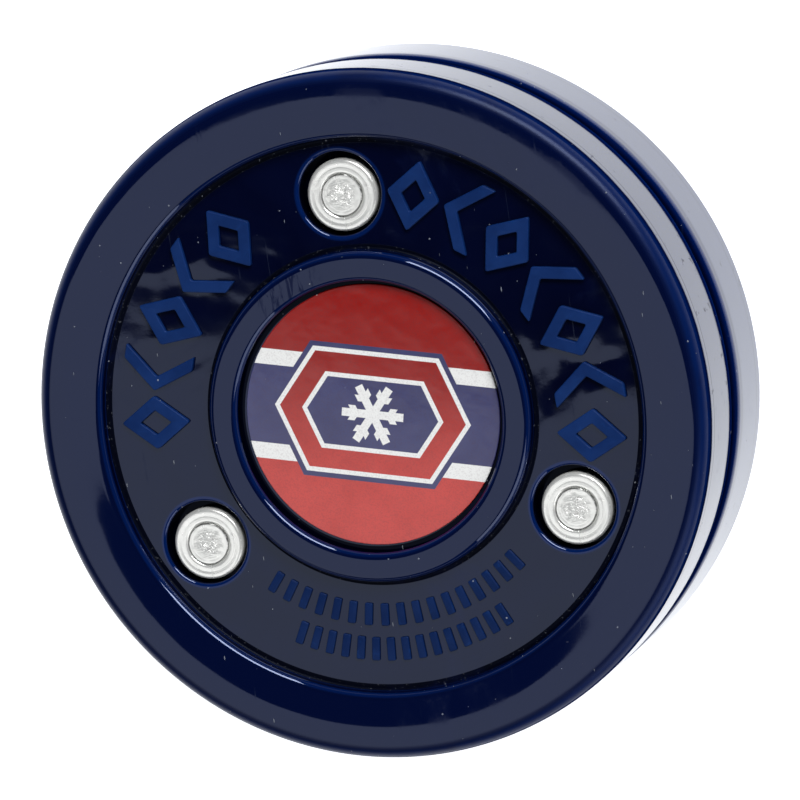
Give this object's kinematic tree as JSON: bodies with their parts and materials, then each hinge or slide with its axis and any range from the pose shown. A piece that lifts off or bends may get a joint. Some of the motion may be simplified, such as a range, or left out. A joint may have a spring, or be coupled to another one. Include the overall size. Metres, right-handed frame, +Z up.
{
  "type": "hockey puck",
  "caption": "Two-piece off-ice training puck: recessed plastic halves held loosely together by riveted steel pins, with a printed label in the centre boss.",
  "frame": {"origin": "centre of the puck's underside, which is the rear half's rim plane", "axes": "+Z up through the front face, +Y from the puck's axis to the first rivet, +X to its right seen from the front"},
  "size_m": [0.0762, 0.0762, 0.0254],
  "materials": {
    "navy_plastic": "gloss, moulded, slightly scuffed",
    "plated_steel": "bright zinc plate, turned and peened",
    "printed_vinyl": "gloss printed film: red with a navy and white band"
  },
  "bodies": {
    "rear_body": {"rear_half": "navy_plastic", "rear_label": "printed_vinyl"},
    "rivet_1_body": {"rivet_1": "plated_steel", "washer_1": "plated_steel"},
    "front_body": {"front_half": "navy_plastic", "front_label": "printed_vinyl"},
    "rivet_2_body": {"rivet_2": "plated_steel", "washer_2": "plated_steel"},
    "rivet_3_body": {"rivet_3": "plated_steel", "washer_3": "plated_steel"}
  },
  "joints": [
    {"name": "front_float", "type": "slide", "parent": "rear_body", "child": "rivet_1_body", "axis": [0, 0, 1], "range_m": [0, 0.0008]},
    {"name": "front_twist", "type": "hinge", "parent": "rivet_1_body", "child": "front_body", "pos_m": [0.00017, 0.0243, 0.0127], "axis": [0, 0, 1], "range_deg": [-0.3, 0.3]},
    {"name": "rivet_2_float", "type": "slide", "parent": "front_body", "child": "rivet_2_body", "axis": [0, 0, 1], "range_m": [0, 0.0004]},
    {"name": "rivet_3_float", "type": "slide", "parent": "front_body", "child": "rivet_3_body", "axis": [0, 0, 1], "range_m": [0, 0.0004]}
  ]
}
